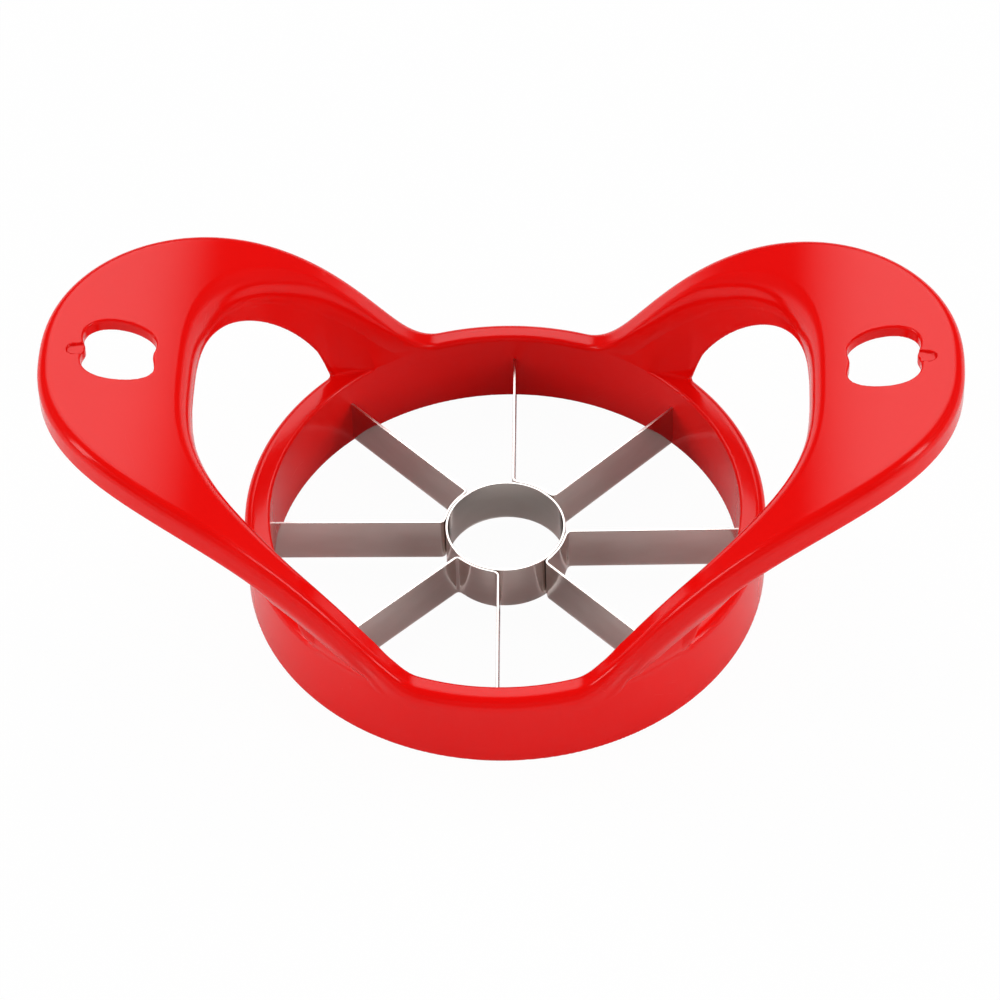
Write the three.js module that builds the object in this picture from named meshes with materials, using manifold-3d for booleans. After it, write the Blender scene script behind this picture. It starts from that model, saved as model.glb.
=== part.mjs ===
// Push-down fruit slicer: a one-piece moulded handle frame that holds a cassette of
// bent steel blades round a core ring. Millimetres, +Z up. The origin is the centre of
// the ring on the face it stands on, and +X runs along the two handle wings.
//
// The frame is read as a band swept round the Z axis. At each polar angle the band has
// one upright section: an outer skirt, a rounded top, an inclined roll down to a fine
// edge, and an inner skirt. Its rails are ovals in plan and curves in side view.

import * as THREE from 'three';
import { mergeVertices } from 'three/addons/utils/BufferGeometryUtils.js';
import Module from 'manifold-3d';

const wasm = await Module();
wasm.setup();

// Ring that closes round the fruit
const boreRadius = 48.65;
const ringWall = 5.1;
const rimHeight = 17.6;
const rimRound = 2;               // outer edge of the ring's top
const footChamfer = 0.3;          // edges of the face it stands on
const ringRadius = boreRadius + ringWall;

// Handle band seen from above
const wingReach = 92.9;           // centre to wing tip
const bandHalfWidth = 49.8;       // centre to the long side
const bandExponent = 2.29;        // 2 is an ellipse, more is squarer
const bandProud = 0.15;           // how far the band stands out from the ring
const bandBlend = 1;              // softness where band and ring outlines meet
const skirtFade = 1;              // the skirt's edge fades where it is nearer the ring

// Handle band seen from the front
const wingHeight = 63;            // top of the wing at its tip
const rampStart = 15.6;           // distance from centre where the rim begins to rise
const rampFootReach = 11.8;       // pull of the curve along the rim
const wingLevelReach = 56;        // pull of the curve along the wing

// Band section
const edgeHeight = 7.1;           // outer skirt, from its lower edge to the top
const edgeRoundAcross = 2.8;      // rounded outer edge, an ellipse quarter
const edgeRoundDown = 2.4;
const crestWidth = 5.3;           // top of the narrow arms, out to out
const crestBlend = 1.6;
const crestRound = 1.3;           // least width of the roll, seen from above
const plateWall = 3;              // moulded wall under the top
const skirtWall = 2.8;            // moulded wall of the two skirts
const coredWidth = 3;             // a narrower hollow than this fades out
const leastHollow = 0.3;          // width that a faded hollow keeps

// Finger openings: an upper outline at the roll, a lower one at the inner lip
const crestReach = 65.2;
const crestHalfWidth = 46.5;
const crestExponent = 2.85;
const lipReach = 62;
const lipHalfWidth = 41;
const lipExponent = 2.75;
const lipHeight = 6.5;            // inner skirt at the middle of the wing
const lipInset = 1.6;             // fine edge to lip, seen from above
const rollDepth = 5.2;            // top to fine edge
const rollGrowthShare = 0.15;     // how much the roll deepens with the skirt
const lipFootShare = 0.7;         // where the lip lands on the ring, of its radius
const lipBendAlongShare = 0.18;   // bend of the lip's curve in the front view
const lipBendUpShare = 0.52;
const lipSink = 2;                // how far the band roots in the ring
const fullWallHeight = 14;        // a lower inner wall stands closer to its crest

// Hanging hole: an apple seen from the side, its stem end towards the wing tip
const holeSetShare = 0.42;        // its centre, from the roll to the tip
const holeLengthShare = 0.525;    // its length, of the same distance
const holeAspectShare = 1.1;      // its width, of its length
const holeShift = 1.3;            // it sits this far behind the middle

// Steel cassette
const coreRadius = 12.5;
const sheet = 0.5;
const bladeHeight = 10.8;
const bladeBottom = 0.7;
const bevelHeight = 1.2;
const cuttingEdge = 0.12;
const pairCount = 4;
const legSpreadDegrees = 46.5;     // between the two legs of one strip
const legOffset = 1.3;            // the first leg's bend stands this far off centre
const bendReach = 1.4;            // length of the rounding on each side of a bend
const bendStand = 0.4;            // how far a bend springs off the core
const footGap = 0.3;

// Seats of the blades in the ring
const seatDepth = 2.7;
const seatGap = 0.3;
const notchHeight = 3;            // locating notch over each seat
const notchDepth = 0.8;

// Fineness
const stationCount = 144;
const ringFacets = 144;
const coreFacets = 64;
const overrun = 2;                // how far every cutter passes the face it cuts
const slopeStep = 0.3;            // run over which a slope is read off a curve

const halfTurn = Math.PI;
const fullTurn = 2 * Math.PI;
const quarterTurn = Math.PI / 2;
const quarterShares = [0, 0.25, 0.5, 0.75, 1];

const redPlastic = new THREE.MeshStandardMaterial({ color: 0xdc1f1b, roughness: 0.2, metalness: 0 });
const steel = new THREE.MeshStandardMaterial({ color: 0xa89c96, roughness: 0.32, metalness: 1 });

// Small helpers

const smoothMax = (a, b, soft) => (a + b + Math.hypot(a - b, soft)) / 2;
const smoothMin = (a, b, soft) => (a + b - Math.hypot(a - b, soft)) / 2;
const clampShare = (value) => Math.min(1, Math.max(0, value));
const { degToRad, lerp } = THREE.MathUtils;

function ovalRadius(angle, reach, halfWidth, exponent) {
  const along = Math.abs(Math.cos(angle)) / reach;
  const across = Math.abs(Math.sin(angle)) / halfWidth;
  return (along ** exponent + across ** exponent) ** (-1 / exponent);
}

// Height of a side-view curve over a distance from the centre, found by halving
function heightOn(curve, distance) {
  let low = 0;
  let high = 1;
  for (let step = 0; step < 30; step += 1) {
    const middle = (low + high) / 2;
    if (curve.getPoint(middle).x < distance) low = middle;
    else high = middle;
  }
  return curve.getPoint(low).y;
}

// One closed body from a run of equal closed outlines, joined end to end or capped
function loft(outlines, closed) {
  const count = outlines[0].length;
  const position = outlines.flat().flatMap((point) => point.toArray());
  const index = [];
  const spans = closed ? outlines.length : outlines.length - 1;
  for (let station = 0; station < spans; station += 1) {
    const here = station * count;
    const next = ((station + 1) % outlines.length) * count;
    for (let corner = 0; corner < count; corner += 1) {
      const after = (corner + 1) % count;
      index.push(here + corner, next + corner, next + after);
      index.push(here + corner, next + after, here + after);
    }
  }
  if (!closed) {
    const last = (outlines.length - 1) * count;
    for (let corner = 1; corner < count - 1; corner += 1) {
      index.push(0, corner, corner + 1);
      index.push(last, last + corner + 1, last + corner);
    }
  }
  const geometry = new THREE.BufferGeometry();
  geometry.setAttribute('position', new THREE.Float32BufferAttribute(position, 3));
  geometry.setIndex(index);
  return geometry;
}

function solidFrom(geometry) {
  const bare = geometry.clone();
  bare.deleteAttribute('normal');
  bare.deleteAttribute('uv');
  const welded = mergeVertices(bare);
  return new wasm.Manifold(new wasm.Mesh({
    numProp: 3,
    vertProperties: new Float32Array(welded.attributes.position.array),
    triVerts: new Uint32Array(welded.index.array),
  }));
}

function geometryFrom(solid) {
  const mesh = solid.getMesh();
  const geometry = new THREE.BufferGeometry();
  geometry.setAttribute('position', new THREE.Float32BufferAttribute(mesh.vertProperties, 3));
  geometry.setIndex([...mesh.triVerts]);
  geometry.computeVertexNormals();
  return geometry;
}

// A lathe profile is drawn as [radius, height] pairs and closes on itself, and the
// turned body is tipped so that its axis is Z
function turned(profile, facets) {
  const points = [...profile, profile[0]].map((corner) => new THREE.Vector2(...corner));
  return new THREE.LatheGeometry(points, facets).rotateX(quarterTurn);
}

// Handle band

const topProfile = new THREE.CubicBezierCurve(
  new THREE.Vector2(rampStart, rimHeight + bandProud),
  new THREE.Vector2(rampStart + rampFootReach, rimHeight + bandProud),
  new THREE.Vector2(wingReach - wingLevelReach, wingHeight),
  new THREE.Vector2(wingReach, wingHeight),
);
const topHeight = (distance) => heightOn(topProfile, Math.abs(distance));

const lipFoot = ringRadius * lipFootShare;
const lipTop = topHeight(lipReach) - lipHeight;
const lipProfile = new THREE.QuadraticBezierCurve(
  new THREE.Vector2(lipFoot, rimHeight),
  new THREE.Vector2(
    lerp(lipFoot, lipReach, lipBendAlongShare),
    lerp(rimHeight, lipTop, lipBendUpShare),
  ),
  new THREE.Vector2(lipReach, lipTop),
);

// Lower edge of the inner skirt. Over the ring it roots below the rim.
function lipHeightAt(distance) {
  const inside = clampShare((lipFoot - distance) / lipSink);
  return heightOn(lipProfile, distance) - lipSink * inside;
}

function bandSection(angle) {
  const along = Math.abs(Math.cos(angle));
  const outer = smoothMax(
    ovalRadius(angle, wingReach, bandHalfWidth, bandExponent), ringRadius + bandProud, bandBlend);
  const inner = Math.max(
    ovalRadius(angle, lipReach, lipHalfWidth, lipExponent), boreRadius + bandProud);
  const top = (radius) => topHeight(radius * along);
  const lip = lipHeightAt(inner * along);
  const skirt = top(outer) - edgeHeight;
  const wall = top(inner) - Math.max(lip, rimHeight);
  const full = inner > ringRadius ? 1 : clampShare(wall / fullWallHeight);
  const fine = inner + lipInset * full;
  const crest = Math.max(fine + crestRound * full, smoothMin(
    ovalRadius(angle, crestReach, crestHalfWidth, crestExponent), outer - crestWidth, crestBlend));
  const depth = Math.min(rollDepth + rollGrowthShare * wall, wall);

  // Outer skirt and rounded edge. The edge takes no more than its share of a narrow arm.
  const roundAcross = Math.min(edgeRoundAcross, outer - crest);
  const clearOfRing = clampShare((outer - ringRadius) / skirtFade);
  const section = [[lerp(ringRadius - bandProud, outer, clearOfRing), skirt]];
  for (const turn of quarterShares) {
    const radius = outer - roundAcross * (1 - Math.cos(turn * quarterTurn));
    section.push([radius, top(radius) - edgeRoundDown * (1 - Math.sin(turn * quarterTurn))]);
  }

  // Top, then the roll down to the fine edge, and the lip
  const flatStart = outer - roundAcross;
  for (const share of [0.25, 0.5, 0.75]) {
    const radius = lerp(flatStart, crest, share);
    section.push([radius, top(radius)]);
  }
  const face = crest - fine;
  for (const turn of quarterShares) {
    const radius = crest - face * Math.sin(turn * quarterTurn);
    section.push([radius, top(radius) - depth * (1 - Math.cos(turn * quarterTurn))]);
  }
  section.push([inner, lip]);

  // Hollow underside between the skirts. It fades out where the band grows narrow.
  const overRing = inner < ringRadius ? ringRadius + bandProud : 0;
  const hollowInner = Math.max(inner + skirtWall, overRing);
  const hollowOuter = outer - skirtWall;
  const open = clampShare((hollowOuter - hollowInner) / coredWidth);
  const middle = (hollowInner + hollowOuter) / 2;
  const near = Math.min(hollowInner, middle - leastHollow / 2);
  const far = Math.max(hollowOuter, middle + leastHollow / 2);
  const root = Math.max(inner, ringRadius);
  const lowerEdge = (radius) => lerp(lip, skirt, clampShare((radius - root) / (outer - root)));
  const ceiling = (radius) => {
    const steep = (top(radius + slopeStep) - top(radius)) / slopeStep;
    const under = top(radius) - plateWall * Math.hypot(1, steep);
    const rolled = clampShare((crest - radius) / face) * depth;
    return lerp(lowerEdge(radius), under - rolled, open);
  };
  section.push([near, lip]);
  for (const share of [0, 0.33, 0.67, 1]) {
    const radius = lerp(near, far, share);
    section.push([radius, Math.max(ceiling(radius), lowerEdge(radius))]);
  }
  section.push([far, skirt]);
  return section;
}

function handleBand() {
  const outlines = [];
  for (let station = 0; station < stationCount; station += 1) {
    const angle = (station / stationCount) * fullTurn;
    outlines.push(bandSection(angle).map(([radius, height]) => (
      new THREE.Vector3(radius * Math.cos(angle), radius * Math.sin(angle), height))));
  }
  return solidFrom(loft(outlines, true));
}

// Ring

function fruitRing() {
  const profile = [
    [boreRadius - overrun, 0],
    [ringRadius - footChamfer, 0],
    [ringRadius, footChamfer],
    [ringRadius, rimHeight - rimRound],
  ];
  for (const turn of [1 / 3, 2 / 3, 1]) {
    profile.push([
      ringRadius - rimRound * (1 - Math.cos(turn * quarterTurn)),
      rimHeight - rimRound * (1 - Math.sin(turn * quarterTurn)),
    ]);
  }
  profile.push([boreRadius - overrun, rimHeight]);
  return solidFrom(turned(profile, ringFacets));
}

function boreCutter() {
  const profile = [
    [0, -overrun],
    [boreRadius + footChamfer + overrun, -overrun],
    [boreRadius, footChamfer],
    [boreRadius, wingHeight + overrun],
    [0, wingHeight + overrun],
  ];
  return solidFrom(turned(profile, ringFacets));
}

// Hanging hole

// Half outline, as shares of the hole's length and half width: start, then for each
// stretch two pulls and an end. The other half is its mirror image.
const appleStartShares = [0.465, 0];
const appleStretchShares = [
  [0.47, 0.16, 0.5, 0.16, 0.5, 0.4],
  [0.5, 0.76, 0.31, 1, 0.05, 1],
  [-0.26, 1, -0.5, 0.74, -0.5, 0.4],
  [-0.5, 0.2, -0.475, 0.15, -0.475, 0],
];

const padLength = wingReach - crestReach;
const holeLength = padLength * holeLengthShare;
const holeReach = crestReach + padLength * holeSetShare;

function appleOutline() {
  const half = holeLength * holeAspectShare / 2;
  const shape = new THREE.Shape();
  shape.moveTo(appleStartShares[0] * holeLength, 0);
  for (const [ax, ay, bx, by, x, y] of appleStretchShares) {
    shape.bezierCurveTo(
      ax * holeLength, ay * half, bx * holeLength, by * half, x * holeLength, y * half);
  }
  const ends = [appleStartShares, ...appleStretchShares.map((stretch) => stretch.slice(4))];
  for (let stretch = appleStretchShares.length - 1; stretch >= 0; stretch -= 1) {
    const [ax, ay, bx, by] = appleStretchShares[stretch];
    const [x, y] = ends[stretch];
    shape.bezierCurveTo(
      bx * holeLength, -by * half, ax * holeLength, -ay * half, x * holeLength, -y * half);
  }
  return shape;
}

function hangingHole(side) {
  const prism = new THREE.ExtrudeGeometry(appleOutline(), {
    depth: wingHeight, bevelEnabled: false, curveSegments: 6,
  });
  if (side < 0) prism.rotateZ(halfTurn);
  prism.translate(side * holeReach, holeShift, rimHeight + overrun);
  return solidFrom(prism);
}

// Blades

const bladeTop = bladeBottom + bladeHeight;
const footRadius = coreRadius + footGap + sheet / 2;
const seatRadius = boreRadius + seatDepth;
const bendRadius = footRadius + bendStand;
const firstBend = Math.acos(legOffset / bendRadius);
const secondLeg = quarterTurn - degToRad(legSpreadDegrees);

const onCircle = (radius, angle) => new THREE.Vector2(
  radius * Math.cos(angle), radius * Math.sin(angle));

// The two legs of one strip, each from its bend at the core to its seat in the ring
const legs = [
  { bend: onCircle(bendRadius, firstBend), seat: onCircle(seatRadius, quarterTurn) },
  { bend: onCircle(bendRadius, secondLeg), seat: onCircle(seatRadius, secondLeg) },
];

// Plan centreline of a strip: in along one leg, round the core, out along the other
function stripCentreline() {
  const [first, second] = legs;
  const bendAngle = bendReach / footRadius;
  const into = first.seat.clone().sub(first.bend).setLength(bendReach).add(first.bend);
  const out = second.seat.clone().sub(second.bend).setLength(bendReach).add(second.bend);
  const footStart = firstBend - bendAngle;
  const footEnd = secondLeg + bendAngle;
  const start = onCircle(footRadius, footStart);
  const path = new THREE.Path();
  path.moveTo(first.seat.x, first.seat.y);
  path.lineTo(into.x, into.y);
  path.quadraticCurveTo(first.bend.x, first.bend.y, start.x, start.y);
  path.absarc(0, 0, footRadius, footStart, footEnd, true);
  path.quadraticCurveTo(second.bend.x, second.bend.y, out.x, out.y);
  path.lineTo(second.seat.x, second.seat.y);
  return path.getPoints(6);
}

function bladeStrip() {
  const points = stripCentreline().filter((point, place, all) => (
    place === 0 || point.distanceTo(all[place - 1]) > sheet / 10));
  const half = sheet / 2;
  const edge = cuttingEdge / 2;
  const section = [
    [half, bladeTop], [-half, bladeTop], [-half, bladeBottom + bevelHeight],
    [-edge, bladeBottom], [edge, bladeBottom], [half, bladeBottom + bevelHeight],
  ];
  const outlines = points.map((point, place) => {
    const before = points[Math.max(place - 1, 0)];
    const after = points[Math.min(place + 1, points.length - 1)];
    const run = after.clone().sub(before).normalize();
    return section.map(([aside, height]) => (
      new THREE.Vector3(point.x + run.y * aside, point.y - run.x * aside, height)));
  });
  return loft(outlines, false);
}

// Slot for one blade end, open below so that the cassette is pushed in from there, with
// a shallow locating notch above it
function seatCutter(leg, pair) {
  const width = sheet + 2 * seatGap;
  const angle = leg.seat.clone().sub(leg.bend).angle();
  const block = (depth, low, high) => {
    const length = depth + overrun;
    const box = new THREE.BoxGeometry(length, width, high - low);
    box.translate(-length / 2, 0, (low + high) / 2);
    box.rotateZ(angle);
    const end = leg.seat.clone().setLength(boreRadius + depth);
    box.translate(end.x, end.y, 0);
    return box.rotateZ(-pair * quarterTurn);
  };
  const slot = solidFrom(block(seatDepth + seatGap, -overrun, bladeTop + seatGap));
  const notch = solidFrom(block(notchDepth, bladeTop, bladeTop + seatGap + notchHeight));
  return slot.add(notch);
}

function coreRing() {
  const inner = coreRadius - sheet;
  return turned([
    [coreRadius - cuttingEdge, bladeBottom],
    [coreRadius, bladeBottom],
    [coreRadius, bladeTop],
    [inner, bladeTop],
    [inner, bladeBottom + bevelHeight],
  ], coreFacets);
}

// Assembly

function handleFrame() {
  let frame = handleBand().add(fruitRing()).subtract(boreCutter());
  for (const side of [-1, 1]) frame = frame.subtract(hangingHole(side));
  for (let pair = 0; pair < pairCount; pair += 1) {
    for (const leg of legs) frame = frame.subtract(seatCutter(leg, pair));
  }
  return geometryFrom(frame);
}

function named(geometry, name, material) {
  const mesh = new THREE.Mesh(geometry, material);
  mesh.name = name;
  return mesh;
}

const slicer = new THREE.Group();
slicer.add(named(handleFrame(), 'handle_frame', redPlastic));

const cassette = new THREE.Group();
cassette.add(named(coreRing(), 'core_ring', steel));
const stripGeometry = bladeStrip();
['back', 'right', 'front', 'left'].forEach((place, pair) => {
  const strip = named(stripGeometry, `blade_strip_${place}`, steel);
  strip.rotation.z = -pair * quarterTurn;
  cassette.add(strip);
});
slicer.add(cassette);

export default slicer;
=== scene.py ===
# %% [markdown]
# # A push-down fruit slicer
#
# The object is a single red moulding with two raised handle wings. It carries a cassette
# of bent steel strips that cuts a fruit into eight wedges and takes its core out.
#
# The imported CAD part is loaded first. It is the fixed frame that everything else is fitted to,
# so its overall box is kept, and the finished moulding is held within it.

import math

import bpy
import numpy as np
from mathutils import Matrix, Vector


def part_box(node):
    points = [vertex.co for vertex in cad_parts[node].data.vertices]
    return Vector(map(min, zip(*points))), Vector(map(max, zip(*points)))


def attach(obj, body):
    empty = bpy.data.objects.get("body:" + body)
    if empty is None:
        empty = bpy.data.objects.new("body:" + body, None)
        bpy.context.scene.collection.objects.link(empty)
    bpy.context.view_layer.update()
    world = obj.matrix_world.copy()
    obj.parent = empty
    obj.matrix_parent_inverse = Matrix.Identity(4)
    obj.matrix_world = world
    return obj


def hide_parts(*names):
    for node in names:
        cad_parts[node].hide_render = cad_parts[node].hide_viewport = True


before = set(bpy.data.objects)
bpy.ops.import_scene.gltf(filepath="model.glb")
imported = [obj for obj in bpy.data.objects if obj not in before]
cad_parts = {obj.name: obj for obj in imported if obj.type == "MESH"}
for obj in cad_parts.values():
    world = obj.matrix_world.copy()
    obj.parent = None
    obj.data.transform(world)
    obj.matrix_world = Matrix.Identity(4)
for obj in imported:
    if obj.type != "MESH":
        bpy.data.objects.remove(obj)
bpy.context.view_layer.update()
print("nodes:", sorted(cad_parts))

# %% [markdown]
# The script works in millimetres, as a mould maker would, and only the finished meshes
# are scaled to metres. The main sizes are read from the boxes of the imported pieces, so
# the fine model follows the plain one.

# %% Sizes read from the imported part
METRE = 0.001


def box_mm(node):
    """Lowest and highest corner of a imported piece, in millimetres."""
    low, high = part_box(node)
    return np.array(low) / METRE, np.array(high) / METRE


frame_low, frame_high = box_mm("handle_frame")
core_low, core_high = box_mm("core_ring")

wing_reach = (frame_high[0] - frame_low[0]) / 2
wing_height = frame_high[2]
ring_radius = (frame_high[1] - frame_low[1]) / 2
ring_wall = 5.3
bore_radius = ring_radius - ring_wall
rim_height = 17.7
core_radius = (core_high[0] - core_low[0]) / 2
blade_bottom, blade_top = core_low[2], core_high[2]
print(f"wing {wing_reach:.2f} out and {wing_height:.2f} up, ring {ring_radius:.2f}")

# %% [markdown]
# ## Curves of the handle band
#
# Seen from above, the band runs between two ovals. Superellipses are used for them, for
# they have no joints where the curvature jumps, and a glossy surface would show those.
# Seen from the front, its top rises from the rim in one S, which is a Bezier curve here.

# %% Curve helpers
def soft_max(a, b, softness):
    """The larger value, with the switch from one to the other rounded."""
    return (a + b + np.hypot(a - b, softness)) / 2


def soft_min(a, b, softness):
    """The smaller value, rounded in the same way."""
    return -soft_max(-a, -b, softness)


def share(value):
    """Smooth step from 0 to 1."""
    value = np.clip(value, 0, 1)
    return value * value * (3 - 2 * value)


def mix(a, b, amount):
    """From a to b as the amount goes from 0 to 1."""
    return a + (b - a) * amount


def oval(angle, reach, half_width, exponent):
    """Radius of a superellipse at a polar angle."""
    along = np.abs(np.cos(angle)) / reach
    across = np.abs(np.sin(angle)) / half_width
    return (along**exponent + across**exponent) ** (-1 / exponent)


def bezier(points, count=6000):
    """Points along a Bezier curve of any degree."""
    t = np.linspace(0, 1, count)[:, None]
    degree = len(points) - 1
    return sum(
        math.comb(degree, i) * t**i * (1 - t) ** (degree - i) * np.array(p, float)
        for i, p in enumerate(points)
    )


# %% [markdown]
# The top curve starts flat on the rim and ends level at the wing tip. The inner skirt's
# lower edge, the lip, has a curve of its own: it lands on the ring well inside the bore
# line, which is what makes the finger openings taper into the ring.

# %% Side view curves
ramp_start = 15.6           # where the rim begins to rise, from the middle
ramp_foot_reach = 11.8      # how far the curve still keeps to the rim
wing_level_reach = 56       # how far it keeps to the level of the wing
lip_reach = 62
lip_height = 6.5            # inner skirt at the middle of the wing
lip_foot_share = 0.7        # where the lip lands on the ring, of the ring's radius
lip_bend_along_share = 0.18
lip_bend_up_share = 0.52
lip_foot = ring_radius * lip_foot_share

top_curve = bezier([
    (ramp_start, rim_height),
    (ramp_start + ramp_foot_reach, rim_height),
    (wing_reach - wing_level_reach, wing_height),
    (wing_reach, wing_height),
])
top_slopes = np.gradient(top_curve[:, 1], top_curve[:, 0])


def top(x):
    """Height of the band's top over a distance from the middle."""
    return np.interp(np.abs(x), *top_curve.T)


def top_slope(x):
    """How steeply the band's top climbs at that distance."""
    return np.interp(np.abs(x), top_curve[:, 0], top_slopes, left=0, right=0)


lip_end = top(lip_reach) - lip_height
lip_bend_along = mix(lip_foot, lip_reach, lip_bend_along_share)
lip_bend_up = mix(rim_height, lip_end, lip_bend_up_share)
lip_curve = bezier([
    (lip_foot, rim_height),
    (lip_bend_along, lip_bend_up),
    (lip_reach, lip_end),
])
print(f"the lip climbs from {rim_height} to {lip_end:.1f}")

# %% [markdown]
# ## Rails of the band
#
# A rail is a radius or a height given for every polar angle: the outer wall, the crest
# where the roll begins, the fine edge where it ends, and the lip. They are worked out
# once on a dense run of angles and then looked up, which keeps the field below quick.

# %% Polar angles
angles = np.linspace(-math.pi, math.pi, 7201)
along = np.abs(np.cos(angles))


def eased(values, width=40):
    """A rail with its last small kinks smoothed out, round the full turn."""
    kernel = np.hanning(width)
    turn = values[:-1]
    wrapped = np.concatenate([turn[-width:], turn, turn[:width]])
    smooth = np.convolve(wrapped, kernel / kernel.sum(), "same")[width:-width]
    return np.append(smooth, smooth[0])


print("a rail is given at", len(angles), "angles")

# %% [markdown]
# Seen from above, the outer wall follows the band's oval down to the ring, and along the
# sides it follows the ring. Where the band stands hardly out from the ring it is flush:
# its skirt then reaches down over the ring, so that no edge shows between the two.

# %% Outer wall, lip and skirt
band_half_width = 49.8      # centre to the long side of the band's oval
band_exponent = 2.29        # 2 is an ellipse, more is squarer
band_blend = 1
blend_inset = 0.06          # makes up for what the blend adds to the ring's radius
band_oval = oval(angles, wing_reach, band_half_width, band_exponent)
outer = soft_max(band_oval, ring_radius - blend_inset, band_blend)
outer = np.maximum(outer, ring_radius)

lip_half_width = 41
lip_exponent = 2.75
lip_sink = 5                # how far the lip's end dips into the ring
lip_oval = oval(angles, lip_reach, lip_half_width, lip_exponent)
inner = np.maximum(lip_oval, bore_radius)
lip = np.interp(inner * along, *lip_curve.T)
lip = lip - lip_sink * share((lip_foot - inner * along) / lip_sink)

edge_height = 7.1           # outer skirt, from its lower edge to the top
flush_gap = 0.4
flush_fade = 1.4
flush = 1 - share((outer - ring_radius - flush_gap) / flush_fade)
skirt = np.maximum(top(outer * along) - edge_height, rim_height - edge_height * flush)
print(f"the band is flush with the ring over {flush.mean():.0%} of the turn")

# %% [markdown]
# The roll is what the fingers pull on. It is deepest at the wing, where the inner wall
# below it is tall, and it thins with that wall towards the ring. The wall leans towards
# the ring on its way down, so that the moulding comes out of its mould.

# %% Roll and crest
wall = top(inner * along) - np.maximum(lip, rim_height)
full_wall_height = 16       # the roll is at its full width where the wall is this tall
full_opening = 4            # or where the opening is this wide
full = np.maximum(share(wall / full_wall_height), share((inner - bore_radius) / full_opening))

least_wall = 1.2
roll_depth = 5.0
roll_growth_share = 0.1
depth = eased(np.clip(wall - least_wall, 0, roll_depth + roll_growth_share * wall), 100)

lean_share = 0.1
most_lean = 1.6
fine_blend = 3
lean_in = eased(np.clip(lean_share * (wall - depth), 0, most_lean), 300)
fine = soft_max(lip_oval, bore_radius, fine_blend * full) + lean_in

crest_reach = 65.2
crest_half_width = 46.5
crest_exponent = 2.85
crest_width = 5.3           # top of the narrow arms, out to out
crest_blend = 1.6
crest_round = 1.3           # least width of the full roll, seen from above
crest_oval = oval(angles, crest_reach, crest_half_width, crest_exponent)
crest = soft_min(crest_oval, outer - crest_width, crest_blend)
crest = np.maximum(fine + crest_round * full, crest)
print(f"the roll is {depth.max():.1f} deep at the wing")

# %% [markdown]
# The rails are kept under their names, each with one more easing. The roll is never less
# than the plain rounding of a rim, which is all that is left of it along the sides.

# %% Rails kept by name
rim_round = 1.2
taper_width = 3             # a band that stands out less than this tapers to the ring
proud = outer - ring_radius
rails = {
    "outer": outer,
    "inner": inner,
    "lip": lip,
    "skirt": skirt,
    "fine": fine,
    "foot": np.maximum(lip, rim_height),
    "crest": np.maximum(crest, fine + rim_round),
    "depth": np.maximum(depth, rim_round),
    "taper": proud * (1 - share(proud / taper_width)),
}
rails = {name: eased(values) for name, values in rails.items()}
print("rails:", ", ".join(rails))

# %% [markdown]
# Along the sides the band covers the ring, and at the openings the ring's own top shows.
# Its outer edge is round there. The rounding gets smaller towards the places where the
# band springs from the ring, because a large one would leave a ragged edge there.

# %% Where the band covers the ring
cover_gap = 0.03
cover_fade = 0.25
within = 1 - share((rails["inner"] - bore_radius - cover_gap) / cover_fade)
rails["cover"] = within * eased(flush)

least_sink = 2
lowest = rim_height - mix(least_sink, lip_sink, rails["cover"])
rails["lip"] = eased(np.maximum(rails["lip"], lowest))

spring_round = 0.5
ring_round = 2
open_gap = 1.6              # the opening's width where the rounding begins to grow
open_fade = 2.1
opened = share((rails["inner"] - bore_radius - open_gap) / open_fade)
rails["corner"] = mix(spring_round, ring_round, opened)
print(f"the band covers {rails['cover'].mean():.0%} of the ring")

# %% [markdown]
# A wall that slants across its polar angle is nearer than the radius says. The slant of
# the rails is kept too, so that distances to such walls come out right.

# %% Slant of the rails
rails["lean"] = np.hypot(1, np.gradient(rails["outer"], angles) / rails["outer"])
rails["lip_turn"] = np.gradient(rails["lip"], angles) / rails["inner"]
rails["skirt_turn"] = np.gradient(rails["skirt"], angles) / rails["outer"]
print(f"the outer wall's distance is divided by up to {rails['lean'].max():.2f}")

# %% [markdown]
# ## The moulding as one field
#
# A moulded part has no sharp edges, and where two shapes meet the tool leaves a small
# fillet. A field gives both: a function that is negative inside the plastic and about
# the distance to the surface elsewhere. Shapes are joined and cut by taking the smaller
# or the larger value, and the rounded forms of those two leave a fillet of known radius.

# %% Joining and cutting fields
def both(a, b, radius):
    """Inside a and b, with the edge between them rounded to a radius."""
    corner = np.hypot(np.maximum(radius + a, 0), np.maximum(radius + b, 0))
    return np.minimum(-radius, np.maximum(a, b)) + corner


def either(a, b, radius):
    """Inside a or b, with a fillet where they meet."""
    return -both(-a, -b, radius)


# %% [markdown]
# The band is cut from solid: its top, its outer wall, the roll that carries the fingers
# and the leaning inner wall. The roll is a quarter of an ellipse between the crest and
# the fine edge, so that it runs into the top and into the wall without a crease.

# %% Outer wall and roll
taper_height = 5
edge_round = 2.6
least_drop = 1
tiny = 1e-6


def shell_field(rail, radius, z, height, steep):
    """The band's outside, and the width of the roll seen from above."""
    foot_share = share((rail["skirt"] + taper_height - z) / taper_height)
    side = (radius - rail["outer"] + rail["taper"] * foot_share) / rail["lean"]
    fine_height = height - rail["depth"]
    drop = np.maximum(fine_height - rail["foot"], least_drop)
    wall_radius = mix(rail["fine"], rail["inner"], np.clip((fine_height - z) / drop, 0, 1))
    face = rail["crest"] - wall_radius
    into, over = wall_radius - radius, (z - height) / steep
    across = np.maximum(1 + into / face, 0)
    up = np.maximum((z - fine_height) / rail["depth"], 0)
    turn = np.maximum(np.hypot(across, up), tiny)
    rate = np.hypot(across / face, up * steep / rail["depth"]) / turn
    round_part = (turn - 1) / np.maximum(rate, tiny)
    roll = np.where((across > 0) & (up > 0), round_part, np.maximum(into, over))
    return both(roll, side, edge_round), face


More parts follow.
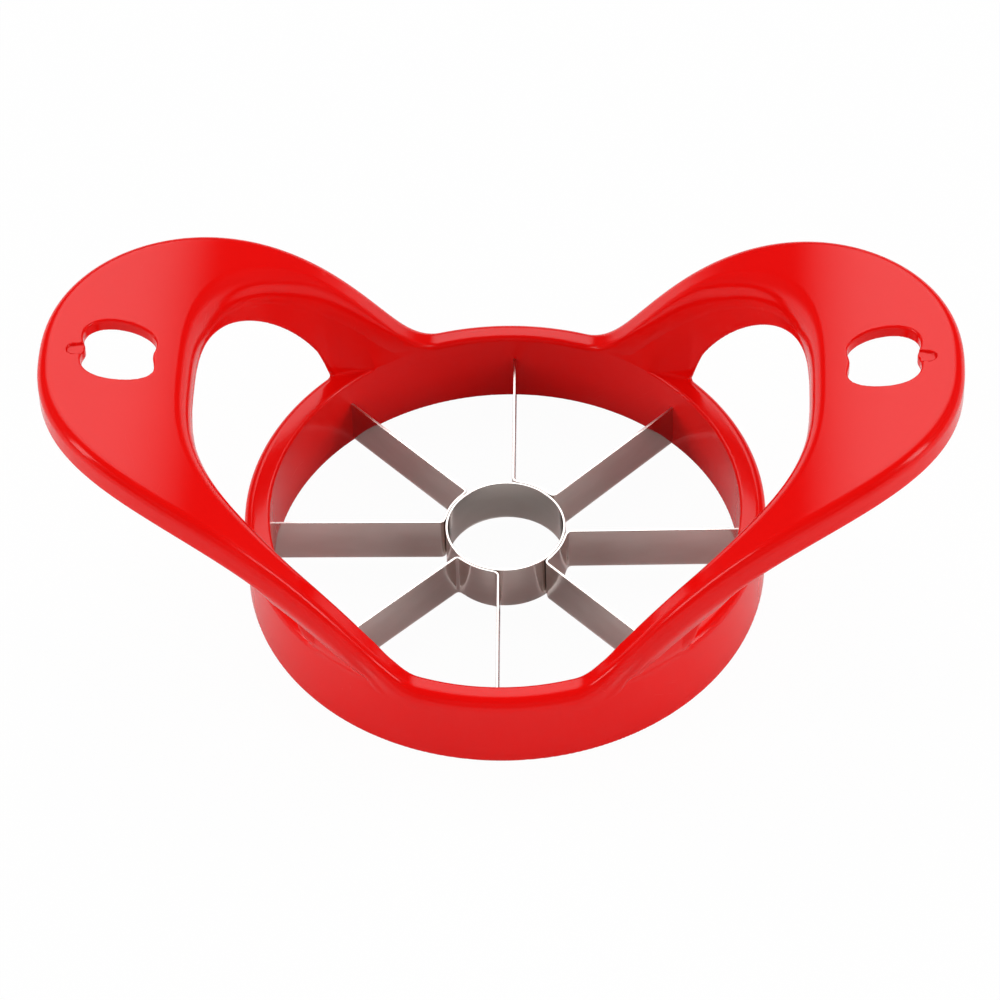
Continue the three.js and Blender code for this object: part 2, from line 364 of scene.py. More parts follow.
# %% [markdown]
# The band's lower side runs on a slant, from the lip, or from the ring's top edge where
# the ring is in the way, out to the lower edge of the outer skirt.

# %% Underside
step_in = 0.7               # the slant goes on this far inside the ring's edge
least_span = 1


def under_field(rail, radius, z):
    """Positive below the lower side of the band."""
    root = np.maximum(rail["inner"], ring_radius)
    span = np.maximum(rail["outer"] - root, least_span)
    part = np.clip((radius - root) / span, -step_in / span, 1)
    base = np.maximum(rail["lip"], rim_height - lip_sink * rail["cover"])
    inside = radius < root - step_in
    low = np.where(inside, rail["lip"], mix(base, rail["skirt"], part))
    climb = np.where(inside, 0, (rail["skirt"] - base) / span)
    veer = mix(rail["lip_turn"], rail["skirt_turn"], part)
    return (low - z) / np.sqrt(1 + climb**2 + veer**2)


# %% [markdown]
# A thick section of plastic would sink as it cools, so such a band is cored out from
# below, which leaves the two skirts. Where they come close the hollow gets shallower.

# %% Hollow between the skirts
skirt_wall = 2.8
plate_wall = 3
cored_width = 3             # a narrower hollow than this fades out
ring_gap = 0.3              # the hollow keeps this far off the ring
faded_ceiling = 1           # top of a faded hollow, below the skirt's edge
hollow_corner = 0.5
hollow_round = 1.2


def hollow_field(rail, radius, z, height, steep, face):
    """Negative in the hollow."""
    over_ring = np.where(rail["inner"] < ring_radius, ring_radius + ring_gap, 0)
    near = np.maximum(rail["inner"] + skirt_wall, over_ring)
    far = rail["outer"] - skirt_wall
    rolled = np.clip((rail["crest"] - radius) / face, 0, 1) * rail["depth"]
    open_share = share((far - near) / cored_width)
    ceiling = mix(rail["skirt"] - faded_ceiling, height - plate_wall * steep - rolled, open_share)
    sides = both(near - radius, radius - far, hollow_corner)
    return both(sides, (z - ceiling) / steep, hollow_round)


# %% [markdown]
# The three are put together at each point, with the rails looked up at its polar angle.

# %% Handle band
edge_break = 0.6


def band_field(x, y, z):
    """The band: its shell above the lower side, less the hollow."""
    angle = np.arctan2(y, x)
    radius = np.hypot(x, y)
    rail = {name: np.interp(angle, angles, values) for name, values in rails.items()}
    height = top(x)
    steep = np.hypot(1, top_slope(x))
    shell, face = shell_field(rail, radius, z, height, steep)
    under = under_field(rail, radius, z)
    hollow = hollow_field(rail, radius, z, height, steep, face)
    return both(both(shell, under, edge_break), -hollow, edge_break)


# %% [markdown]
# The ring stands on the board round the fruit. It is a plain turned shape: a rounded
# outer top edge, a slightly broken foot and a straight bore that guides the fruit. Where
# the band covers it, its top keeps well inside the band, so that none of it shows through.

# %% Ring
covered_dip = 2.5
foot_round = 0.4
bore_round = 0.6


def ring_field(x, y, z):
    """The ring, turned round the Z axis."""
    radius = np.hypot(x, y)
    angle = np.arctan2(y, x)
    covered = np.interp(angle, angles, rails["cover"])
    corner = np.interp(angle, angles, rails["corner"])
    ring = both(radius - ring_radius, z - rim_height + covered_dip * covered, corner)
    return both(both(ring, -z, foot_round), bore_radius - radius, bore_round)


# %% [markdown]
# Each wing has a hole to hang the slicer by, in the outline of an apple that lies on its
# side with its stem end outwards. The outline is drawn from Bezier stretches, as shares of
# the hole's size, and then read as a radius round its middle.

# %% Outline of the hanging hole
pad_length = wing_reach - crest_reach
hole_set_share = 0.42       # its centre, from the roll to the tip
hole_length_share = 0.525   # its length, of the same distance
hole_aspect_share = 1.1     # its width, of its length
hole_shift = 1.3            # it sits this far behind the middle
hole_length = pad_length * hole_length_share
hole_half_width = hole_length * hole_aspect_share / 2
hole_centre = np.array([crest_reach + pad_length * hole_set_share, hole_shift])

half_apple_shares = [
    [(0.455, 0), (0.46, 0.16), (0.5, 0.16), (0.5, 0.4)],
    [(0.5, 0.4), (0.5, 0.76), (0.31, 1), (0.05, 1)],
    [(0.05, 1), (-0.26, 1), (-0.5, 0.74), (-0.5, 0.4)],
    [(-0.5, 0.4), (-0.5, 0.2), (-0.47, 0.15), (-0.47, 0)],
]
half_apple = np.concatenate([bezier(stretch, 200) for stretch in half_apple_shares])
half_apple = half_apple * [hole_length, hole_half_width]
apple_turns = np.linspace(0, math.pi, 721)
drawn_turns = np.arctan2(half_apple[:, 1], half_apple[:, 0])
apple_radii = np.interp(apple_turns, drawn_turns, np.hypot(*half_apple.T))
apple_lean = np.hypot(1, np.gradient(apple_radii, apple_turns) / apple_radii)
print(f"hanging hole: {hole_length:.1f} by {2 * hole_half_width:.1f}")

# %% [markdown]
# The apple's stem is a shallow pocket that runs from the opening towards the wing tip. A
# rounded groove along a straight line is enough for it.

# %% Hanging holes and their stems
stem_radius = 1.35
stem_sink = 0.5
stem_bottom_round = 0.25
stem_root_share = 0.45      # where it starts, of the hole's length
stem_reach = 1.7            # how far it ends beyond the hole
stem_root_shift = -0.35
stem_tip_shift = -0.9
stem_start = np.array([hole_length * stem_root_share, stem_root_shift])
stem_end = np.array([hole_length / 2 + stem_reach, stem_tip_shift])


def to_segment(x, y, start, end):
    """Distance in plan to a straight segment."""
    run = end - start
    part = ((x - start[0]) * run[0] + (y - start[1]) * run[1]) / (run @ run)
    part = np.clip(part, 0, 1)
    return np.hypot(x - start[0] - part * run[0], y - start[1] - part * run[1])


def hole_field(x, y, z):
    """Negative in the opening, and negative in the stem's pocket."""
    out = np.abs(x) - hole_centre[0]
    aside = y - hole_centre[1]
    turn = np.arctan2(np.abs(aside), out)
    hole = np.hypot(out, aside) - np.interp(turn, apple_turns, apple_radii)
    hole = hole / np.interp(turn, apple_turns, apple_lean)
    stem = to_segment(out, aside, stem_start, stem_end) - stem_radius
    return hole, both(stem, top(x) - stem_sink - z, stem_bottom_round)


# %% [markdown]
# The band and the ring are joined with a small fillet where the band stands clear of the
# ring, and with none along the sides, where their walls run together. The hanging holes
# are cut out of both, with softly broken edges.

# %% Whole moulding
least_fillet = 0.02
full_fillet = 0.8
fillet_start = 0.8          # the fillet grows where the band stands out by more
fillet_rise = 2
bore_clear = 0.5            # and where the point is farther from the bore
bore_rise = 1.5
hole_round = 0.5
stem_edge_round = 0.12


def moulding(x, y, z):
    """The band and the ring in one, less the hanging holes and their stems."""
    clear = np.interp(np.arctan2(y, x), angles, rails["outer"]) - ring_radius
    from_bore = np.hypot(x, y) - bore_radius
    apart = share((clear - fillet_start) / fillet_rise)
    apart = apart * share((from_bore - bore_clear) / bore_rise)
    fillet = mix(least_fillet, full_fillet, apart)
    whole = either(band_field(x, y, z), ring_field(x, y, z), fillet)
    hole, stem = hole_field(x, y, z)
    return both(both(whole, -hole, hole_round), -stem, stem_edge_round)


# %% [markdown]
# ## From field to mesh
#
# The field is sampled on a grid. Every cell that the surface passes through gets one
# vertex, and every grid edge that it crosses gets one face between the four cells round
# it. This is the surface net method: it gives even quads, which shade better than the
# triangles of a marching method.

# %% Surface net
def surface_net(values):
    """Vertices in grid units and quads for the surface where values change sign."""
    inside = values < 0
    corners = [
        inside[i:i - 1 or None, j:j - 1 or None, k:k - 1 or None]
        for i in (0, 1) for j in (0, 1) for k in (0, 1)
    ]
    crossed = np.any(corners, axis=0) & ~np.all(corners, axis=0)
    cells = np.argwhere(crossed)
    number = np.full(crossed.shape, -1, np.int32)
    number[tuple(cells.T)] = np.arange(len(cells))

    total = np.zeros((len(cells), 3))
    count = np.zeros(len(cells))
    quads = []
    for axis in range(3):
        step = np.eye(3, dtype=int)[axis]
        one, other = np.eye(3, dtype=int)[(axis + 1) % 3], np.eye(3, dtype=int)[axis - 1]

        # A vertex is the mean of the places where the surface cuts its cell's edges
        for shift in (0 * one, one, other, one + other):
            start = cells + shift
            a = values[tuple(start.T)]
            b = values[tuple((start + step).T)]
            cut = (a < 0) != (b < 0)
            part = a[cut] / (a[cut] - b[cut])
            total[cut] += start[cut] + part[:, None] * step
            count[cut] += 1

        # A face joins the four cells round a cut edge, turned to look out of the plastic
        ahead = np.roll(inside, -1, axis)
        edges = np.argwhere(inside != ahead)
        edges = edges[np.all(edges > 0, axis=1)]
        ring = [edges - one - other, edges - other, edges, edges - one]
        ring = np.stack([number[tuple(corner.T)] for corner in ring], axis=1)
        leaving = inside[tuple(edges.T)]
        ring[~leaving] = ring[~leaving][:, ::-1]
        quads.append(ring)
    return total / count[:, None], np.concatenate(quads)


# %% [markdown]
# The net's vertices are only near the surface. A step down the field's own slope puts
# them on it, and the same slope gives the exact direction that the surface faces there.

# %% Slope of a field
def slope_of(field, points, reach=0.08):
    """Rate of change of a field at each point, along the three axes."""
    columns = []
    for axis in range(3):
        offset = np.zeros(3)
        offset[axis] = reach
        ahead = field(*(points + offset).T)
        behind = field(*(points - offset).T)
        columns.append((ahead - behind) / (2 * reach))
    return np.stack(columns, axis=1)


def unit(vectors):
    """Rows scaled to a length of 1."""
    return vectors / np.maximum(np.linalg.norm(vectors, axis=1, keepdims=True), 1e-9)


# %% [markdown]
# A fine grid over the whole box is slow to fill, and most of it is far from the surface.
# The field is nearly a true distance, so a coarse grid shows which blocks the surface
# can't reach, and only the others are worked out finely.

# %% Sample the moulding
cell = 0.42
coarse = 4                  # fine cells along a coarse one
margin = 3                  # fine cells left free round the frame
near_share = 1.6            # how near the surface counts, of a coarse cell
batch_size = 500000
grid_low = frame_low - margin * cell
grid_size = frame_high - frame_low + 2 * margin * cell
size = np.ceil(grid_size / (cell * coarse)).astype(int)


def sampled(steps, spacing):
    """Field values at grid steps, worked out in batches to keep memory small."""
    batches = np.array_split(steps, len(steps) // batch_size + 1)
    return np.concatenate([
        moulding(*(grid_low + batch * spacing).T).astype(np.float32) for batch in batches])


blocks = np.argwhere(np.ones(size, bool))
middle = sampled(blocks + 0.5, cell * coarse).reshape(size)
values = middle.repeat(coarse, 0).repeat(coarse, 1).repeat(coarse, 2)
close = np.abs(values) < near_share * cell * coarse
values[close] = sampled(np.argwhere(close), cell)
print(f"grid of {values.shape}, {close.mean():.0%} of it sampled")

# %% [markdown]
# Relaxing the net moves each vertex towards the middle of its neighbours and back onto
# the surface, a few times over. That lines the vertices up along the rounded edges.

# %% Mesh and relax it
least_squared = 0.2         # keeps a step short where the field hardly changes
relax_share = 0.6
relax_rounds = 4


def settled(points):
    """Points moved down the field's slope onto the surface."""
    slope = slope_of(moulding, points)
    squared = np.maximum((slope**2).sum(axis=1), least_squared)
    move = moulding(*points.T)[:, None] * slope / squared[:, None]
    return points - np.clip(move, -cell / 2, cell / 2)


def relaxed(points, quads):
    """Points moved to the middle of their neighbours."""
    start = quads.ravel()
    end = np.roll(quads, -1, axis=1).ravel()
    both_ways = np.concatenate([start, end]), np.concatenate([end, start])
    count = np.bincount(both_ways[0], minlength=len(points))
    total = [
        np.bincount(both_ways[0], weights=points[both_ways[1], axis], minlength=len(points))
        for axis in range(3)
    ]
    return np.stack(total, axis=1) / count[:, None]


net, quads = surface_net(values)
points = settled(grid_low + net * cell)
for _ in range(relax_rounds):
    points = settled(mix(points, relaxed(points, quads), relax_share))
points = np.clip(settled(points), frame_low, frame_high)
print(f"moulding: {len(points)} vertices, {len(quads)} quads")

# %% [markdown]
# Vertices and faces become a mesh object in metres here, shaded smooth. The moulding also
# gets its normals from the field's slope, which are truer than those of its small faces.

# %% Mesh from arrays
def mesh_object(name, points, faces):
    """A smooth mesh object from places in millimetres and faces by number."""
    mesh = bpy.data.meshes.new(name)
    mesh.from_pydata((np.asarray(points) * METRE).tolist(), [], [list(face) for face in faces])
    mesh.update()
    mesh.shade_smooth()
    thing = bpy.data.objects.new(name, mesh)
    bpy.context.scene.collection.objects.link(thing)
    return thing


body = mesh_object("frame_moulding", points, quads)
body.data.normals_split_custom_set_from_vertices(unit(slope_of(moulding, points)).tolist())
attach(body, "root")
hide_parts("handle_frame")
print("moulding, in millimetres:", [round(side / METRE, 1) for side in body.dimensions])

# %% [markdown]
# ## Steel cassette
#
# Each strip is sheet steel, bent twice. It runs in from the plastic ring, hugs the core
# ring for an eighth of a turn and runs out again, so four strips make eight blades.

# %% Strip sizes
sheet = 0.5
cutting_edge = 0.12
bevel_height = 1.2
burr = 0.06                 # broken edges along the top of the sheet
foot_gap = 0.05
bend_stand = 0.25           # how far a bend springs off the core
seat_depth = 2.7
foot_radius = core_radius + sheet / 2 + foot_gap
bend_radius = foot_radius + bend_stand
seat_radius = bore_radius + seat_depth

# Polar angle of each leg at the ring and at the core, first leg and then second. No two
# hand-bent strips are the same, and these follow the four of the photograph.
strip_legs = {
    "back": (89.7, 84.8, 45.3, 41.4),
    "right": (90.0, 84.5, 44.4, 41.1),
    "front": (90.0, 85.3, 44.0, 41.7),
    "left": (89.8, 86.0, 44.3, 40.7),
}


def on_circle(radius, angle):
    """Point of a circle round the middle, in plan."""
    return np.array([radius * math.cos(angle), radius * math.sin(angle)])


print(f"the strips lie on a circle of {foot_radius:.2f} round the core")

# %% [markdown]
# The steel ends are straight from the seat to the bend, and the bend is a small rounding
# that springs slightly off the core before the strip lies against it.

# %% Plan line of a strip
bend_reach = 0.9            # length of the rounding on each side of a bend
bend_run = 1.6              # from a bend to where the strip lies on the core


def rounded(corner, before, after, count=9):
    """Rounding of a corner between two directions, as points."""
    start = corner + (before - corner) / np.linalg.norm(before - corner) * bend_reach
    end = corner + (after - corner) / np.linalg.norm(after - corner) * bend_reach
    return bezier([start, corner, end], count)


def strip_line(*degrees):
    """Plan line from seat to seat, through both bends and the foot on the core."""
    first_wall, first_core, second_wall, second_core = [math.radians(a) for a in degrees]
    first, second = on_circle(bend_radius, first_core), on_circle(bend_radius, second_core)
    turn = bend_run / foot_radius
    foot = [
        on_circle(foot_radius, angle)
        for angle in np.linspace(first_core - turn, second_core + turn, 25)
    ]
    seat_first = on_circle(seat_radius, first_wall)
    seat_second = on_circle(seat_radius, second_wall)
    return np.concatenate([
        [seat_first],
        rounded(first, seat_first, foot[0]),
        foot,
        rounded(second, foot[-1], seat_second),
        [seat_second],
    ])


# %% [markdown]
# Rolled steel shows fine lines along the sheet. For them, each vertex keeps its place
# along and across the sheet in an attribute named grain, which the material reads.

# %% Grain along the sheet
def keep_grain(thing, along, across):
    """Stores the place on the sheet with every vertex."""
    places = np.column_stack([along, across, np.zeros(len(along))])
    layer = thing.data.attributes.new("grain", "FLOAT_VECTOR", "POINT")
    layer.data.foreach_set("vector", places.ravel())


# %% [markdown]
# A strip has one section all along, so it is swept: the section is set square to the plan
# line at each of its points, and neighbouring sections are joined by faces. The section
# has the ground bevel at its lower edge and small broken corners at the top.

# %% Sweep a strip section along its line
def swept(name, line, section):
    """A body of one outline carried along a plan line, capped at both ends."""
    run = np.gradient(line, axis=0)
    aside = unit(np.stack([run[:, 1], -run[:, 0]], axis=1))
    rows = [
        np.column_stack([point + side * section[:, :1], section[:, 1]])
        for point, side in zip(line, aside)
    ]
    count = len(section)
    faces = []
    for row in range(len(line) - 1):
        for corner in range(count):
            after = (corner + 1) % count
            here, there = row * count, (row + 1) * count
            faces.append([here + corner, here + after, there + after, there + corner])
    last = (len(line) - 1) * count
    faces.append(list(range(count))[::-1])
    faces.append([last + corner for corner in range(count)])
    thing = mesh_object(name, np.concatenate(rows), faces)
    steps = np.linalg.norm(np.diff(line, axis=0), axis=1)
    length = np.concatenate([[0], np.cumsum(steps)])
    keep_grain(thing, length.repeat(count), np.tile(section[:, 1], len(line)))
    return thing


# %% [markdown]
# The four strips are one shape set at quarter turns, apart from the small differences of
# their bends.

# %% Four strips
half = sheet / 2
bevel_top = blade_bottom + bevel_height
strip_section = np.array([
    (half, blade_top - burr), (half, bevel_top),
    (cutting_edge / 2, blade_bottom), (-cutting_edge / 2, blade_bottom),
    (-half, bevel_top), (-half, blade_top - burr),
    (burr - half, blade_top), (half - burr, blade_top),
])
strips = []
for turn, place in enumerate(["back", "right", "front", "left"]):
    angle = -turn * math.pi / 2
    rotate = np.array([[math.cos(angle), -math.sin(angle)], [math.sin(angle), math.cos(angle)]])
    line = strip_line(*strip_legs[place]) @ rotate.T
    strip = swept(f"strip_{place}", line, strip_section)
    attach(strip, "root")
    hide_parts(f"blade_strip_{place}")
    strips.append(strip)
print("strips:", len(strips), "vertices each:", len(strips[0].data.vertices))

# %% [markdown]
# The core ring is a strip bent round until its ends meet. It cuts out the core, so its
# lower edge is ground to an edge from the inside.

# %% Core ring
def turned(name, profile, facets=192):
    """A body turned round the Z axis from a closed outline of radius and height."""
    profile = np.asarray(profile, float)
    count = len(profile)
    points = []
    turns = 2 * math.pi * np.arange(facets) / facets
    for angle in turns:
        points.append(np.column_stack([
            profile[:, 0] * math.cos(angle), profile[:, 0] * math.sin(angle), profile[:, 1]]))
    faces = []
    for facet in range(facets):
        here, there = facet * count, (facet + 1) % facets * count
        for corner in range(count):
            after = (corner + 1) % count
            faces.append([here + corner, here + after, there + after, there + corner])
    thing = mesh_object(name, np.concatenate(points), faces)
    round_length = profile[:, 0].max() * np.abs(turns - math.pi)
    keep_grain(thing, round_length.repeat(count), np.tile(profile[:, 1], facets))
    return thing


core = turned("core_tube", [
    (core_radius - sheet, bevel_top),
    (core_radius - sheet, blade_top - burr), (core_radius - sheet + burr, blade_top),
    (core_radius - burr, blade_top), (core_radius, blade_top - burr),
    (core_radius, blade_bottom), (core_radius - cutting_edge, blade_bottom),
])
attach(core, "root")
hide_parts("core_ring")
print(f"core ring: {2 * core_radius:.1f} across, {blade_top - blade_bottom:.1f} high")

# %% [markdown]
# The bends and the thin edges of the steel are told apart by their angle: faces that
# meet at less than thirty degrees shade as one curved surface, sharper ones as an edge.

# %% Shade the steel by angle
sharp_angle = math.radians(30)
for piece in [core, *strips]:
    piece.data.set_sharp_from_angle(angle=sharp_angle)

# %% [markdown]
# ## Materials
#
# A material is a network of nodes, and most of its links are plain maths. The class below
# wraps a socket, so that the maths can be written as Python expressions: each operator
# adds the Math node that does it. Every other node comes from its one method.

# %% Wires for shader maths
class Wire:
    """A node's output socket, with operators that add Math nodes."""

    def __init__(self, tree, socket=None):
        self.tree, self.socket = tree, socket

    def node(self, kind, settings=(), sockets=(), output=0):
        """Any node: its settings first, then the values or links of its sockets."""
        made = self.tree.nodes.new("ShaderNode" + kind)
        for name, value in dict(settings).items():
            setattr(made, name, value)
        for name, value in dict(sockets).items():
            if isinstance(value, Wire):
                self.tree.links.new(value.socket, made.inputs[name])
            else:
                made.inputs[name].default_value = value
        return Wire(self.tree, made.outputs[output] if made.outputs else None)

    def maths(self, operation, *values):
        """A Math node on the values given."""
        return self.node("Math", {"operation": operation}, enumerate(values))

    def __add__(self, other):
        return self.maths("ADD", self, other)

    def __mul__(self, other):
        return self.maths("MULTIPLY", self, other)

    def __sub__(self, other):
        return self.maths("SUBTRACT", self, other)

    def __rsub__(self, other):
        return self.maths("SUBTRACT", other, self)

    def __abs__(self):
        return self.maths("ABSOLUTE", self)

    __radd__ = __add__
    __rmul__ = __mul__


# %% [markdown]
# A few helpers are used by both finishes: a soft step between two values, a noise of a
# given grain size, a place stretched along its axes, and a blend of two colours.

# %% Helpers on wires
def ramp(value, low, high):
    """0 below low, 1 above high, and a smooth rise between them."""
    settings = {"interpolation_type": "SMOOTHSTEP"}
    return value.node("MapRange", settings, {
        "Value": value, "From Min": low, "From Max": high})


def noise(place, scale, detail=2.0):
    """Soft noise over a place, about 0.5 on average."""
    return place.node("TexNoise", (), {"Vector": place, "Scale": scale, "Detail": detail})


def stretched(place, factors):
    """A place with each of its axes multiplied by a factor."""
    return place.node("VectorMath", {"operation": "MULTIPLY"}, {0: place, 1: factors})


def tinted(amount, colour, other):
    """From one colour to the other as the amount goes from 0 to 1."""
    settings = {"data_type": "RGBA"}
    # A Mix node has its two colours on sockets 6 and 7
    sockets = {"Factor": amount, 6: colour, 7: other}
    return amount.node("Mix", settings, sockets, output=2)


def start_material(name):
    """A material, a wire on its nodes and the sockets of its shader."""
    material = bpy.data.materials.new(name)
    material.use_nodes = True
    tree = material.node_tree
    return material, Wire(tree), tree.nodes["Principled BSDF"].inputs


def feed(inputs, **values):
    """Links or constants on the shader's own sockets."""
    for name, value in values.items():
        socket = inputs[name.replace("_", " ")]
        if isinstance(value, Wire):
            value.tree.links.new(value.socket, socket)
        else:
            socket.default_value = value


# %% [markdown]
# ## Red plastic
#
# The moulding is glossy plastic with the pigment mixed in, so its colour is the same all
# through. What varies is small: a faint flow of the pigment, handling marks that dull the
# gloss in patches, fine scratches, corners rubbed a little paler, and the slight orange
# peel of a polished mould.

# %% Red plastic
deep_red = (0.72, 0.0022, 0.0016, 1)
bright_red = (0.78, 0.0036, 0.0026, 1)
rubbed_red = (0.86, 0.05, 0.04, 1)

red, wire, shader = start_material("gloss_red")
place = wire.node("TexCoord", output="Object")
corners = wire.node("NewGeometry", output="Pointiness")

flow = noise(stretched(place, (30, 30, 55)), 1.0)
rubbed = ramp(corners, 0.53, 0.60) * ramp(noise(place, 900, 3.0), 0.35, 0.7)
pigment = tinted(flow, deep_red, bright_red)
pigment = tinted(rubbed * 0.25, pigment, rubbed_red)

# Scratches are noise drawn out about 40 times, in a direction that wanders
wander = place.node("VectorRotate", {"rotation_type": "Z_AXIS"}, {
    "Vector": place, "Angle": noise(place, 14, 1.0) * 5})
scratched = ramp(noise(stretched(wander, (160, 7000, 160)), 1.0, 1.0), 0.70, 0.80)
handled = ramp(noise(place, 75, 4.0), 0.5, 0.75)
dull = 0.13 + 0.07 * handled + 0.14 * scratched + 0.10 * rubbed

peel = noise(place, 650, 1.0) + 0.25 * noise(place, 2600, 1.0) - 0.35 * scratched
surface = wire.node("Bump", (), {"Strength": 0.35, "Distance": 0.00002, "Height": peel})
feed(shader, Base_Color=pigment, Roughness=dull, Normal=surface,
     IOR=1.49, Specular_IOR_Level=0.2)
body.data.materials.append(red)
print("red plastic:", len(red.node_tree.nodes), "nodes")

# %% [markdown]
# ## Cutting steel
#
# The blades are thin stainless sheet with the fine lines of the rolling mill along them.
# The lower edge is ground, so it is paler and its lines run across the sheet. The cut top
# edge is darker and rougher, as shears leave it. The grain attribute gives the place on
# the sheet, so that the lines follow it round the bends.

# %% Cutting steel
# Both steel colours are warm partly from the steel's own tone and partly from a painted
# reflection of the red ring.
steel_and_red_reflection, pale_steel_and_red_reflection = (0.67, 0.58, 0.53, 1), (0.78, 0.71, 0.67, 1)
lined_steel, ground_steel = (0.72, 0.68, 0.65, 1), (0.74, 0.72, 0.70, 1)
cut_steel = (0.50, 0.49, 0.48, 1)

steel, wire, shader = start_material("rolled_steel")
grain = wire.node("Attribute", {"attribute_name": "grain"}, output="Vector")
height = grain.node("SeparateXYZ", (), {"Vector": grain}, output="Y")

rolled = noise(stretched(grain, (0.05, 9, 0)), 1.0, 3.0)
ground = noise(stretched(grain, (11, 0.5, 0)), 1.0, 2.0)
bevel = 1 - ramp(height, bevel_top - 0.08, bevel_top)
rim = ramp(height, blade_top - 0.09, blade_top - 0.05)
clouds = noise(stretched(grain, (0.12, 0.35, 0)), 1.0, 2.0)
lines = rolled + bevel * (ground - rolled)

metal = tinted(clouds, steel_and_red_reflection, pale_steel_and_red_reflection)
metal = tinted(ramp(lines, 0.35, 0.65) * 0.2, metal, lined_steel)
metal = tinted(bevel * 0.3, metal, ground_steel)
metal = tinted(rim * 0.6, metal, cut_steel)
polish = 0.05 + 0.05 * ramp(lines, 0.3, 0.7) + 0.03 * clouds + 0.10 * bevel + 0.2 * rim
surface = wire.node("Bump", (), {"Strength": 0.12, "Distance": 0.00002, "Height": lines})
feed(shader, Base_Color=metal, Roughness=polish, Normal=surface, Metallic=1)
for piece in [core, *strips]:
    piece.data.materials.append(steel)
print("cutting steel:", len(steel.node_tree.nodes), "nodes")

# %% [markdown]
# ## Camera
#
# The camera stands where the photograph was taken from. Its direction, its roll and where
# it aims were solved from edges that both the photograph and the model show, such as the
# rims of the ring. The distance is taken as one metre, and the lens was solved with it.

# %% Camera from the solved view
azimuth, elevation, roll = math.radians(3.479), math.radians(47.306), math.radians(-1.990)
camera_distance = 1000.0
aim_right, aim_up = -1.39971, 13.17251
focal_pixels, picture_pixels, sensor = 4768.42, 1000, 36.0

back = np.array([
    math.sin(azimuth) * math.cos(elevation),
    -math.cos(azimuth) * math.cos(elevation),
    math.sin(elevation),
])
level_right = np.array([math.cos(azimuth), math.sin(azimuth), 0])
level_up = np.cross(back, level_right)
right = math.cos(roll) * level_right + math.sin(roll) * level_up
up = math.cos(roll) * level_up - math.sin(roll) * level_right

camera_data = bpy.data.cameras.new("camera")
camera_data.sensor_width = sensor
camera_data.lens = focal_pixels * sensor / picture_pixels
camera = bpy.data.objects.new("camera", camera_data)
camera.location = Vector((back * camera_distance + right * aim_right + up * aim_up) * METRE)
camera.rotation_euler = Matrix((right, up, back)).transposed().to_euler()
bpy.context.scene.collection.objects.link(camera)
bpy.context.scene.camera = camera
print(f"camera: a lens of {camera_data.lens:.0f} mm, {camera_distance:.0f} mm away")

# %% [markdown]
# ## Floor
#
# The slicer stands on a plain pale floor. The camera sees mostly the floor's own white and
# a little of its shading, so that the background stays white and the object keeps a soft
# shadow. Mirrored and transmitted rays see that white too, but with more of the shading,
# since a floor that shone in the gloss would turn the red walls pink.

# %% Floor
floor_reach = 4000
camera_white, mirror_white = 0.97, 0.07
floor = mesh_object("floor", [
    (-floor_reach, -floor_reach, 0), (floor_reach, -floor_reach, 0),
    (floor_reach, floor_reach, 0), (-floor_reach, floor_reach, 0),
], [(0, 1, 2, 3)])


def ray_kinds(wire):
    """Whether a ray comes from the camera, from a mirror image or out of glass."""
    kinds = ["Is Camera Ray", "Is Glossy Ray", "Is Transmission Ray"]
    return [wire.node("LightPath", output=kind) for kind in kinds]


white = bpy.data.materials.new("floor_white")
white.use_nodes = True
white.node_tree.nodes.clear()
wire = Wire(white.node_tree)
seen, mirrored, through = ray_kinds(wire)
shaded = wire.node("BsdfDiffuse", (), {"Color": (0.75, 0.75, 0.75, 1)})
plain = wire.node("Emission", (), {"Color": (1, 1, 1, 1)})
share_of_white = seen * camera_white + mirrored * mirror_white + through * mirror_white
surface = wire.node("MixShader", (), {0: share_of_white, 1: shaded, 2: plain})
wire.node("OutputMaterial", (), {"Surface": surface})
floor.data.materials.append(white)
print("floor:", 2 * floor_reach * METRE, "metres across")

# %% [markdown]
# ## Light
#
# The room is a dim studio with a thin white horizon, one bright soft window high at the
# back and a strip light at each side. A glossy red turns pink wherever it mirrors white, so
# the window's edge decides where the flat tops are pale and where the rolled edges stay
# deep red. The strips draw the thin bright lines along the crests of the arms.

# %% Studio world
window_direction = (-0.04, 0.68, 0.732)
dim_level, window_level, strip_level = 0.08, 3.2, 6.5
strip_normal = (0.21, 0.98)     # square to the upright plane that a strip light lies in

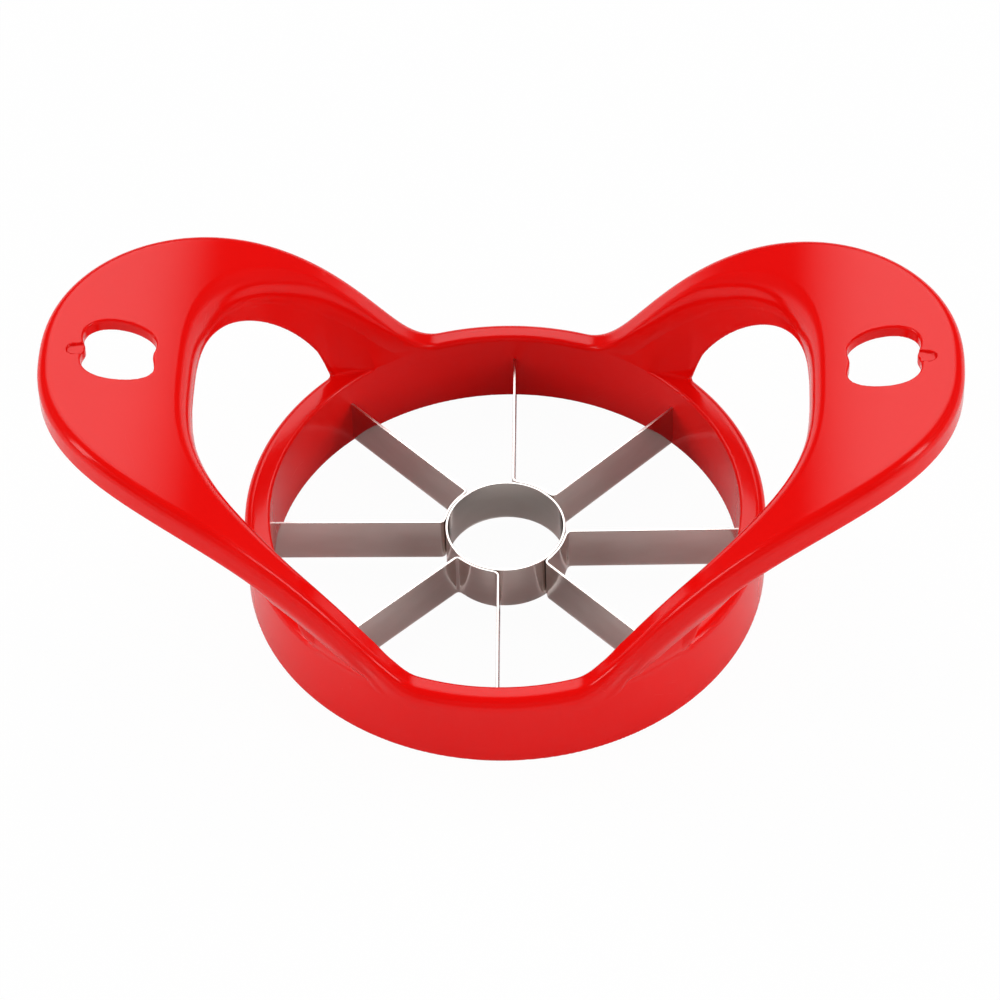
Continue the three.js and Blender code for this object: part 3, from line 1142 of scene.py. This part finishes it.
world = bpy.data.worlds.new("studio")
bpy.context.scene.world = world
world.use_nodes = True
wire = Wire(world.node_tree)
direction = wire.node("TexCoord", output="Generated")
facing = direction.node("VectorMath", {"operation": "DOT_PRODUCT"}, {
    0: direction, 1: window_direction}, output="Value")
window = ramp(facing, 0.84, 1.0)

sideways, forward, climb = [
    direction.node("SeparateXYZ", (), {"Vector": direction}, output=axis) for axis in "XYZ"]
aside = abs(strip_normal[0] * abs(sideways) + strip_normal[1] * forward)
strip_light = (1 - ramp(aside, 0.07, 0.15)) * ramp(climb, 0.15, 0.25)
strip_light = strip_light * (1 - ramp(climb, 0.62, 0.75))
level = dim_level + window_level * window + strip_level * strip_light

seen, mirrored, through = ray_kinds(wire)
horizon = 1 - ramp(climb, 0.05, 0.12)
pale = horizon * (seen + 0.3 * mirrored + 0.3 * through)
level = level + pale * (1 - level)
background = world.node_tree.nodes["Background"].inputs
background["Color"].default_value = (1, 1, 1, 1)
world.node_tree.links.new(level.socket, background["Strength"])
print("studio world:", len(world.node_tree.nodes), "nodes")

# %% [markdown]
# The even light comes from large lamps on all sides, like the cloth of a light tent. They
# light the colour but are left out of the mirror images, as a polarising filter would do.

# %% Lamps
lamp_size = (1.4, 1.0)
lamp_aim = Vector((0, 0, 0.03))


def lamp(name, place, level):
    """A soft lamp that looks at the object; at level 1 it is as bright as white paper."""
    data = bpy.data.lights.new(name, "AREA")
    data.shape = "RECTANGLE"
    data.size, data.size_y = lamp_size
    data.energy = level * math.pi * lamp_size[0] * lamp_size[1]
    thing = bpy.data.objects.new(name, data)
    thing.location = place
    thing.rotation_euler = (lamp_aim - Vector(place)).to_track_quat("-Z", "Y").to_euler()
    thing.visible_glossy = False
    bpy.context.scene.collection.objects.link(thing)
    return thing


lamps = [
    lamp("tent_front", (0, -1.15, 0.5), 1.45),
    lamp("tent_back", (0, 1.15, 0.7), 0.4),
    lamp("tent_left", (-1.0, 0, 0.55), 1.3),
    lamp("tent_right", (1.0, 0, 0.55), 1.4),
]
bpy.context.scene.view_settings.view_transform = "Standard"
print("lamps:", len(lamps))
